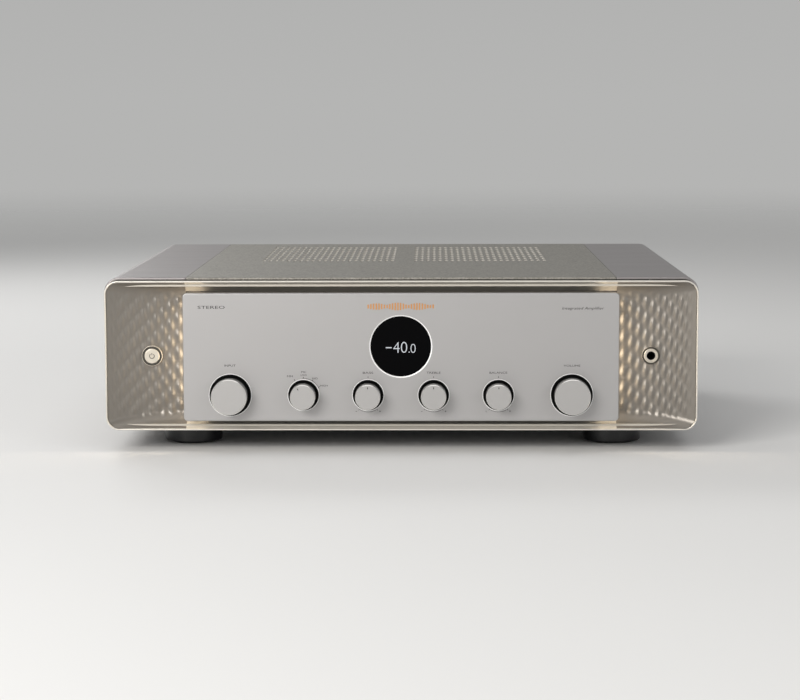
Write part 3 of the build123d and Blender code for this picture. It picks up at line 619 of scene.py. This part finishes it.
# Painted highlight: a thin near-white ring at the outer edge of each knob's dished ring.
for name, x in KNOB_X.items():
    edge = hole_edge(name)
    curved_line("hole_line_" + name, x, CONTROL_Z, 0, 360, edge, edge + HOLE_LINE, 72, highlight_white)
for name in ("bass", "treble", "balance"):
    tick(name + "_top", name, 0, 12.9, 14.0, 0.4)
    scale(name, 152, 208)
    tick(name + "_low", name, -148, 12.2, 13.4, 0.35)
    tick(name + "_high", name, 148, 12.2, 13.4, 0.35)
for name in ("bass", "treble"):
    x, z = at_angle(name, -144, MARK_DISTANCE)
    bar(f"mark_{name}_minus", x - MARK_HALF, z, x + MARK_HALF, z, MARK_WIDTH)
    x, z = at_angle(name, 144, MARK_DISTANCE)
    bar(f"mark_{name}_plus_a", x - MARK_HALF, z, x + MARK_HALF, z, MARK_WIDTH)
    bar(f"mark_{name}_plus_b", x, z - MARK_HALF, x, z + MARK_HALF, MARK_WIDTH)
for name, letter, degrees, width in (("left", "L", -144, 0.9), ("right", "R", 144, 1.1)):
    box = centred(*at_angle("balance", degrees, MARK_DISTANCE), width * MM, 1.3 * MM)
    lettering("mark_" + name, letter, box, INK_Y, ink)

scale("selector", -4, 68)
for number, degrees in enumerate((-30, 0, 32, 62)):
    tick(f"selector_{number}", "selector", degrees, 12.4, 13.7, 0.4)
SELECTOR_WORDS = {                # offset from the knob, height of the centre, width, height
    "mm": (-10.0, 57.4, 4.2, 1.4), "mc": (0.3, 60.6, 3.8, 1.4), "low": (0.3, 58.3, 4.6, 1.3),
    "mid": (8.6, 55.8, 4.0, 1.3), "high": (15.2, 50.4, 5.4, 1.3),
}
for name, (offset, *size) in SELECTOR_WORDS.items():
    label(name, name.upper(), KNOB_X["selector"] + offset * MM, *size)

# A generic sound-wave emblem of copper strokes above the display.
STROKES = 25
EMBLEM_WIDTH, EMBLEM_Z = 48.0 * MM, 109.3 * MM
STROKE_HALF, STROKE_WIDTH = 2.9 * MM, 1.15 * MM
for number in range(STROKES):
    share = number / (STROKES - 1)
    x = (share - 0.5) * EMBLEM_WIDTH
    envelope = 0.55 + 0.45 * math.sin(share * math.pi)
    swell = 0.35 + 0.65 * abs(math.sin(share * math.pi * 3.0 + 0.5)) * envelope
    half = STROKE_HALF * swell
    bar(f"emblem_{number:02d}", x, EMBLEM_Z - half, x, EMBLEM_Z + half, STROKE_WIDTH, copper)

# Display digits just in front of the glass.
DIGIT_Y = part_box("display_window")[0].y - 0.05 * MM
STEP = 1 / 1.36 * MM              # of the display's own small grid
THIN = -0.016                     # slims the strokes
DIGITS = {                        # sign, left, right, top and bottom from the display's centre
    "minus": ("-", -15.1, -9.2, 0.75, 1.8, 0.0), "four": ("4", -7.6, -1.2, -4.6, 6.4, THIN),
    "zero": ("0", 0.1, 6.5, -4.7, 6.5, THIN), "point": (".", 7.9, 9.0, 5.2, 6.4, 0.0),
    "tenth": ("0", 9.8, 15.0, -2.6, 6.6, THIN),
}
for name, (sign, x0, x1, top, bottom, weight) in DIGITS.items():
    box = (x0 * STEP, x1 * STEP, DISPLAY.z - bottom * STEP, DISPLAY.z - top * STEP)
    lettering("digit_" + name, sign, box, DIGIT_Y, digits, weight=weight)

# Power symbol on the button, which moves with it.
ICON_Y = BUTTON_Y - INK_GAP
curved_line("power_symbol_ring", BUTTON.x, BUTTON.z, 35, 325, 1.55 * MM, 2.05 * MM, 32, ink,
            ICON_Y, "power_button")
bar("power_symbol_line", BUTTON.x, BUTTON.z + 0.7 * MM, BUTTON.x, BUTTON.z + 2.3 * MM, 0.5 * MM,
    ink, ICON_Y, "power_button")

# ---------------------------------------------------------------- rear lettering
REAR_Y = Y_REAR + 0.05 * MM


def rear_label(name, words, x, z, width, height):
    """White words on the rear panel around x, z; width and height in millimetres."""
    box = centred(x, z, width * MM, height * MM)
    lettering("rear_" + name, words, box, REAR_Y, white_ink, "back")


SOCKETS = ("PHONO", "CD", "TUNER", "LINE 1", "LINE 2", "REC OUT", "PRE OUT", "POWER IN", "SUB")
SHELL_R = 6.2 * MM
first_x = SHELLS[0].x + SHELL_R
pitch = (SHELLS[1].x - SHELLS[0].x - 2 * SHELL_R) / (len(SOCKETS) - 1)
for number, words in enumerate(SOCKETS):
    width = min(14, 2.1 * len(words))
    x = first_x + number * pitch
    rear_label(f"label_{number}", words, x, SHELLS[1].z + 4.2 * MM, width, 2.0)
for number, words in enumerate(("R-", "R+", "L-", "L+"), start=1):
    spot = centre(f"speaker_cap_{number}")
    rear_label(f"post_{number}", words, spot.x, spot.z + 12.5 * MM, 4.6, 2.6)
posts = (centre("speaker_cap_1") + centre("speaker_cap_4")) / 2
ground = centre("ground_cap")
rear_label("speakers", "SPEAKERS", posts.x, posts.z + 19 * MM, 24, 2.8)
rear_label("inlet", "AC IN", INLET.x, INLET.z + 16 * MM, 11, 2.4)
rear_label("ground", "GND", ground.x, ground.z - 9 * MM, 7, 2.0)

# ---------------------------------------------------------------- stage
FLOOR_R = 6
FADE_FROM, FADE_TO = 0.7, 5.0     # the floor melts into the backdrop between these distances
bpy.ops.mesh.primitive_circle_add(
    vertices=128, radius=FLOOR_R, fill_type="NGON", location=(0, 0, 0))
floor = bpy.context.object
floor.name = "floor"
floor_paint = material("floor_paint", linear(232, 231, 229), 0.65)
vary_roughness(floor_paint, 3, 0.6, 0.7)
nodes, links = floor_paint.node_tree.nodes, floor_paint.node_tree.links
geometry = nodes.new("ShaderNodeNewGeometry")
reach = nodes.new("ShaderNodeVectorMath")
reach.operation = "LENGTH"
links.new(geometry.outputs["Position"], reach.inputs[0])
fade = nodes.new("ShaderNodeMapRange")
fade.interpolation_type = "SMOOTHSTEP"
fade.inputs["From Min"].default_value = FADE_FROM
fade.inputs["From Max"].default_value = FADE_TO
fade.inputs["To Min"].default_value = 1.0
fade.inputs["To Max"].default_value = 0.0
links.new(reach.outputs["Value"], fade.inputs["Value"])
links.new(fade.outputs["Result"], shader_of(floor_paint).inputs["Alpha"])
floor.data.materials.append(floor_paint)


def area_light(name, place, target, size, power, colour=(1, 1, 1)):
    """A rectangular lamp that faces the target; size in metres, power in watts."""
    data = bpy.data.lights.new(name, "AREA")
    data.shape = "RECTANGLE"
    data.size, data.size_y = size
    data.energy = power
    data.color = colour
    lamp = bpy.data.objects.new(name, data)
    lamp.location = place
    lamp.rotation_euler = (Vector(target) - Vector(place)).to_track_quat("-Z", "Y").to_euler()
    bpy.context.scene.collection.objects.link(lamp)


area_light("key", (-1.2, -2.2, 1.1), (0, -0.1, 0.07), (1.3, 0.9), 46, (1.0, 0.985, 0.965))
area_light("fill", (1.7, -2.0, 0.7), (0, -0.1, 0.07), (1.2, 0.9), 8, (0.96, 0.98, 1.0))
area_light("back", (-0.9, 1.3, 1.1), (-0.05, 0.0, 0.12), (1.0, 0.4), 9)
area_light("overhead", (0, -0.6, 2.4), (0, -0.3, 0), (2.6, 2.0), 15)

# The backdrop is a little brighter low down than overhead.
BACKDROP_LOW, BACKDROP_HIGH = (0.70, 0.70, 0.69, 1), (0.40, 0.405, 0.41, 1)
world = bpy.data.worlds.new("studio")
bpy.context.scene.world = world
world.use_nodes = True
nodes, links = world.node_tree.nodes, world.node_tree.links
background = nodes["Background"]
background.inputs["Strength"].default_value = 0.66
coordinate = nodes.new("ShaderNodeTexCoord")
split = nodes.new("ShaderNodeSeparateXYZ")
ramp = nodes.new("ShaderNodeValToRGB")
ramp.color_ramp.elements[0].color = BACKDROP_LOW
ramp.color_ramp.elements[1].color = BACKDROP_HIGH
ramp.color_ramp.elements[1].position = 0.6
links.new(coordinate.outputs["Generated"], split.inputs["Vector"])
links.new(split.outputs["Z"], ramp.inputs["Fac"])
links.new(ramp.outputs["Color"], background.inputs["Color"])

# ---------------------------------------------------------------- camera
CAMERA_PLACE = (0.0256, -1.8669, 0.2644)
PITCH, YAW, ROLL = (math.radians(v) for v in (6.42, 0.90, -0.14))
LENS, SENSOR = 101.9, 36          # millimetres
camera_data = bpy.data.cameras.new("camera")
camera_data.lens = LENS
camera_data.sensor_width = SENSOR
camera_data.sensor_fit = "HORIZONTAL"
camera_data.clip_start = 0.05
camera_data.clip_end = 60
camera = bpy.data.objects.new("camera", camera_data)
bpy.context.scene.collection.objects.link(camera)
yaw, roll = Matrix.Rotation(YAW, 4, "Z"), Matrix.Rotation(ROLL, 4, "Z")
pitch_down = Matrix.Rotation(math.pi / 2 - PITCH, 4, "X")
camera.matrix_world = Matrix.Translation(CAMERA_PLACE) @ yaw @ pitch_down @ roll
bpy.context.scene.camera = camera
bpy.context.scene.view_settings.view_transform = "Standard"
